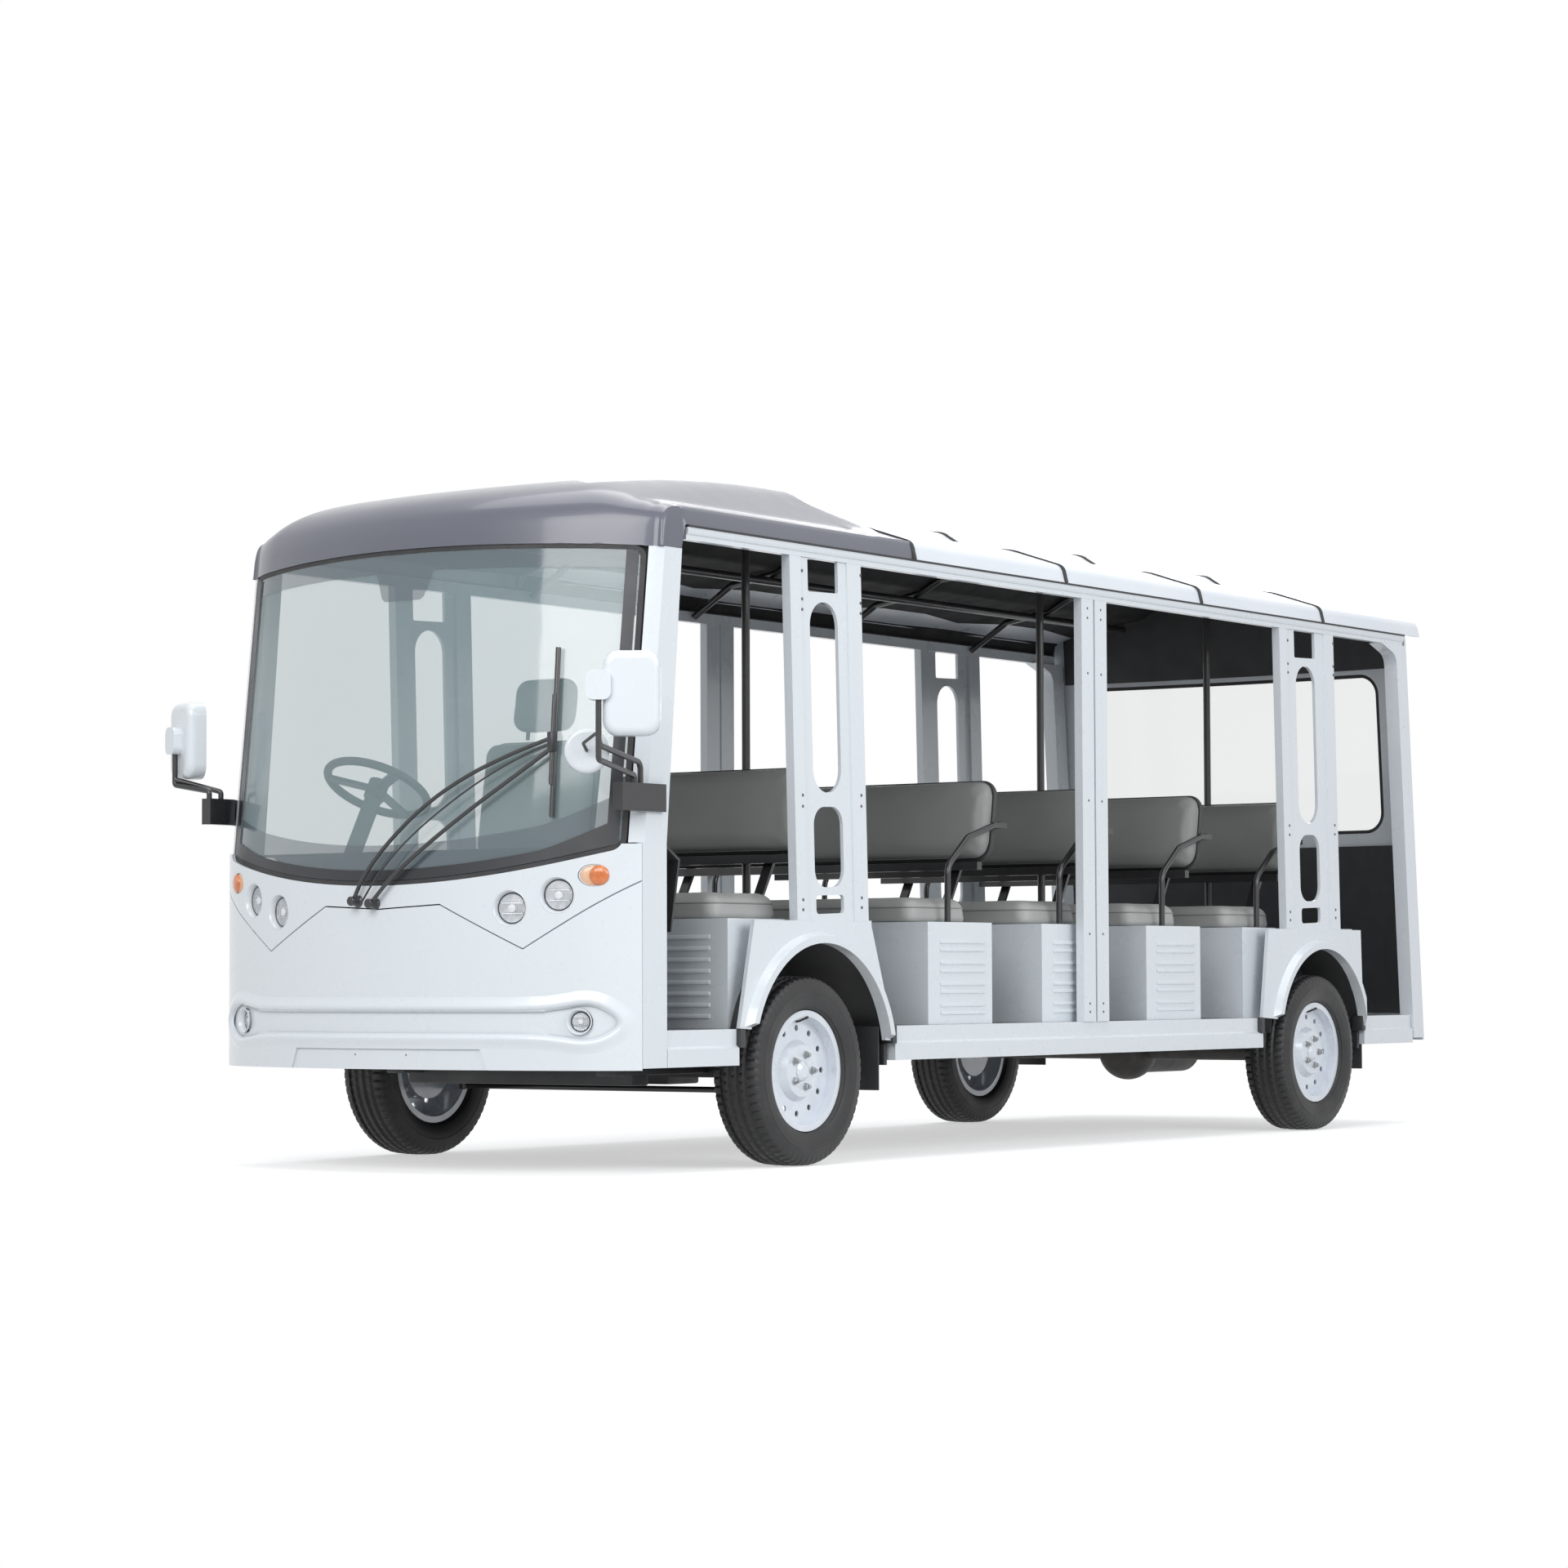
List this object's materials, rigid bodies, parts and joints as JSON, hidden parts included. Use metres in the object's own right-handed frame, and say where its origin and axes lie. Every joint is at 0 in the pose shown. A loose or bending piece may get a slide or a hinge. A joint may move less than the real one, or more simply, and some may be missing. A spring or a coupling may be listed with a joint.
{
  "type": "passenger bus",
  "caption": "Open-sided electric passenger bus with bench rows, domed front roof cap, steered front wheels and free-turning road wheels.",
  "frame": {"origin": "on the floor the tyres stand on, below the middle of the whole bus", "axes": "nose towards -Y, left side towards +X, up +Z"},
  "size_m": [2.1681, 5.7402, 2.2881],
  "materials": {
    "body_white": "gloss",
    "roof_white": "gloss",
    "cap_grey": "satin",
    "black_paint": "satin",
    "glass_tint": "clear",
    "rubber": "matte",
    "grey_vinyl": "satin",
    "grey_shell": "satin",
    "floor_mat": "matte",
    "black_plastic": "matte",
    "lamp_clear": "clear",
    "lamp_orange": "gloss",
    "lamp_red": "gloss",
    "mirror": "polished",
    "tyre": "matte",
    "rim_steel": "satin",
    "cast_steel": "matte",
    "battery_case": "matte"
  },
  "bodies": {
    "bus_body": {"front_lower_panel": "body_white", "front_upper_panel": "body_white", "window_glass": "glass_tint", "window_seals": "rubber", "corner_pillars": "body_white", "roof_skin": "roof_white", "roof_rubber": "rubber", "roof_front_cap": "cap_grey", "roof_side_rails": "body_white", "front_post_panels": "body_white", "rear_post_panels": "body_white", "middle_posts": "body_white", "side_sills": "body_white", "wheel_liners": "black_plastic", "fenders": "body_white", "rear_wall": "body_white", "floor_deck": "floor_mat", "chassis_frame": "black_paint", "seat_boxes": "body_white", "battery_block": "battery_case", "seat_cushions": "grey_vinyl", "seat_backrests": "grey_shell", "seat_frames": "black_paint", "seat_handles": "black_paint", "cabin_tubes": "black_paint", "dashboard": "black_plastic", "headlamps": "lamp_clear", "turn_lamps": "lamp_orange", "rear_lamps": "lamp_red", "mirror_heads": "body_white", "mirror_glasses": "mirror", "mirror_arms": "black_paint", "wiper": "black_paint", "front_axle": "black_paint", "rear_axle": "cast_steel"},
    "knuckle_left": {"knuckle_left": "cast_steel"},
    "knuckle_right": {"knuckle_right": "cast_steel"},
    "tie_rod": {"tie_rod": "black_paint"},
    "steering_wheel": {"steering_wheel": "black_plastic"},
    "front_left_wheel": {"front_left_rim": "rim_steel", "front_left_tyre": "tyre"},
    "front_right_wheel": {"front_right_rim": "rim_steel", "front_right_tyre": "tyre"},
    "rear_left_wheel": {"rear_left_rim": "rim_steel", "rear_left_tyre": "tyre"},
    "rear_right_wheel": {"rear_right_rim": "rim_steel", "rear_right_tyre": "tyre"}
  },
  "joints": [
    {"name": "steer_left", "type": "hinge", "parent": "bus_body", "child": "knuckle_left", "pos_m": [0.69, -1.648, 0.306], "axis": [0, 0, 1], "range_deg": [-32, 32]},
    {"name": "steer_right", "type": "hinge", "parent": "bus_body", "child": "knuckle_right", "pos_m": [-0.69, -1.648, 0.306], "axis": [0, 0, 1], "range_deg": [-32, 32]},
    {"name": "tie_rod_swing", "type": "hinge", "parent": "knuckle_left", "child": "tie_rod", "pos_m": [0.69, -1.52, 0.236], "axis": [0, 0, 1], "range_deg": [-32, 32]},
    {"name": "steering_wheel_turn", "type": "hinge", "parent": "bus_body", "child": "steering_wheel", "pos_m": [-0.4, -2.304, 1.232], "axis": [0, 0.4848, 0.8746], "range_deg": [-512, 512]},
    {"name": "front_left_spin", "type": "hinge", "parent": "knuckle_left", "child": "front_left_wheel", "pos_m": [0.785, -1.648, 0.306], "axis": [1, 0, 0], "continuous": true},
    {"name": "front_right_spin", "type": "hinge", "parent": "knuckle_right", "child": "front_right_wheel", "pos_m": [-0.785, -1.648, 0.306], "axis": [1, 0, 0], "continuous": true},
    {"name": "rear_left_spin", "type": "hinge", "parent": "bus_body", "child": "rear_left_wheel", "pos_m": [0.785, 1.842, 0.306], "axis": [1, 0, 0], "continuous": true},
    {"name": "rear_right_spin", "type": "hinge", "parent": "bus_body", "child": "rear_right_wheel", "pos_m": [-0.785, 1.842, 0.306], "axis": [1, 0, 0], "continuous": true}
  ],
  "couplings": [
    {"joint": "steer_right", "follows": "steer_left", "ratio": 1},
    {"joint": "tie_rod_swing", "follows": "steer_left", "ratio": -1},
    {"joint": "steering_wheel_turn", "follows": "steer_left", "ratio": 16}
  ]
}
